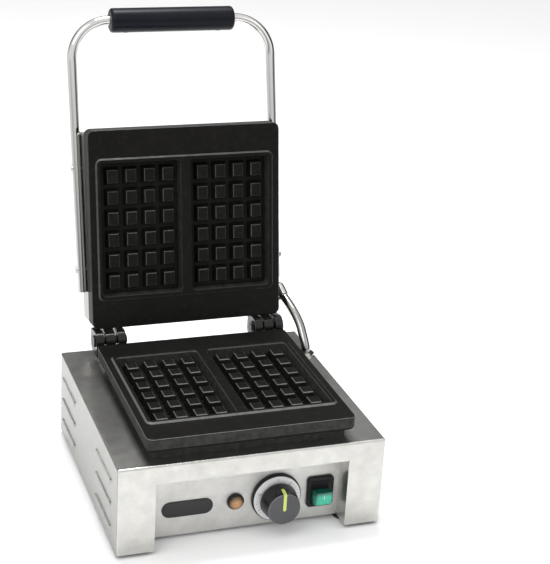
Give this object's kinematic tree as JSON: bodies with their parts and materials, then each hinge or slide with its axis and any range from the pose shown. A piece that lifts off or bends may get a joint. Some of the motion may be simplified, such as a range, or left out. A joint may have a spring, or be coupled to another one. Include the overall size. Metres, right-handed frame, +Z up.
{
  "type": "waffle maker",
  "caption": "Countertop waffle maker: folded steel housing, hinged cast-iron baking plates with studded wells, bow handle, thermostat dial, rocker switch and lid hose.",
  "frame": {"origin": "on the table plane under the feet, at the centre of the part's bounding box with the lid raised as it rests", "axes": "+X to the right seen from the front, +Y to the back where the hinge is, +Z up"},
  "size_m": [0.3212, 0.4189, 0.5346],
  "materials": {
    "stainless": "satin stainless sheet",
    "galvanised": "plain galvanised sheet",
    "plate_iron": "seasoned dark cast iron",
    "chrome": "polished",
    "grip_black": "satin black",
    "trim_black": "satin black",
    "badge_black": "gloss black",
    "knob_black": "dark grey",
    "pointer_green": "yellow-green inlay",
    "dial_silver": "satin silver",
    "lens_amber": "amber",
    "lens_green": "translucent green",
    "foot_rubber": "matt black",
    "fasteners": "zinc plated",
    "heater_sheath": "heat-tinted sheath",
    "stat_case": "ceramic-coloured case",
    "black_steel": "black oxide",
    "fibre_pad": "ceramic fibre"
  },
  "bodies": {
    "base": {"base_housing": "stainless", "front_brow": "stainless", "front_legs": "stainless", "control_panel": "stainless", "bottom_plate": "galvanised", "heat_shield": "galvanised", "lower_plate": "plate_iron", "lower_lugs": "plate_iron", "hinge_pins": "black_steel", "pin_clips": "black_steel", "lug_screws": "black_steel", "conduit_hose": "chrome", "hose_gland": "chrome", "hose_nut": "chrome", "dial_bezel": "trim_black", "switch_housing": "trim_black", "lamp_bezel": "trim_black", "terminal_block": "trim_black", "cord_gland": "trim_black", "gland_nut": "trim_black", "badge_plate": "badge_black", "dial_scale": "dial_silver", "lamp_lens": "lens_amber", "rubber_feet": "foot_rubber", "bottom_screws": "fasteners", "foot_screws": "fasteners", "foot_nuts": "fasteners", "plate_bolts": "fasteners", "lower_clamp": "fasteners", "lower_clamp_screws": "fasteners", "lower_element": "heater_sheath", "sensor_bulb": "heater_sheath", "thermostat_body": "stat_case"},
    "lid": {"upper_plate": "plate_iron", "upper_knuckles": "plate_iron", "knuckle_screws": "black_steel", "upper_element": "heater_sheath", "upper_clamp": "fasteners", "upper_clamp_screws": "fasteners", "lid_cover": "stainless", "cover_screws": "fasteners", "insulation_pad": "fibre_pad", "handle_tube": "chrome", "handle_screws": "fasteners", "handle_grip": "grip_black", "grip_screws": "fasteners", "hose_elbow": "chrome"},
    "knob": {"control_knob": "knob_black", "knob_pointer": "pointer_green", "thermostat_shaft": "fasteners"},
    "rocker": {"switch_rocker": "trim_black", "switch_lens": "lens_green"}
  },
  "joints": [
    {"name": "lid_hinge", "type": "hinge", "parent": "base", "child": "lid", "pos_m": [0, 0.06854, 0.142], "axis": [1, 0, 0], "range_deg": [0, 100], "deforming": ["conduit_hose"]},
    {"name": "knob_turn", "type": "hinge", "parent": "base", "child": "knob", "pos_m": [0.037, -0.18736, 0.04], "axis": [0, 1, 0], "range_deg": [0, 290]},
    {"name": "switch_rock", "type": "hinge", "parent": "base", "child": "rocker", "pos_m": [0.0918, -0.17836, 0.04], "axis": [1, 0, 0], "range_deg": [0, 20]}
  ]
}
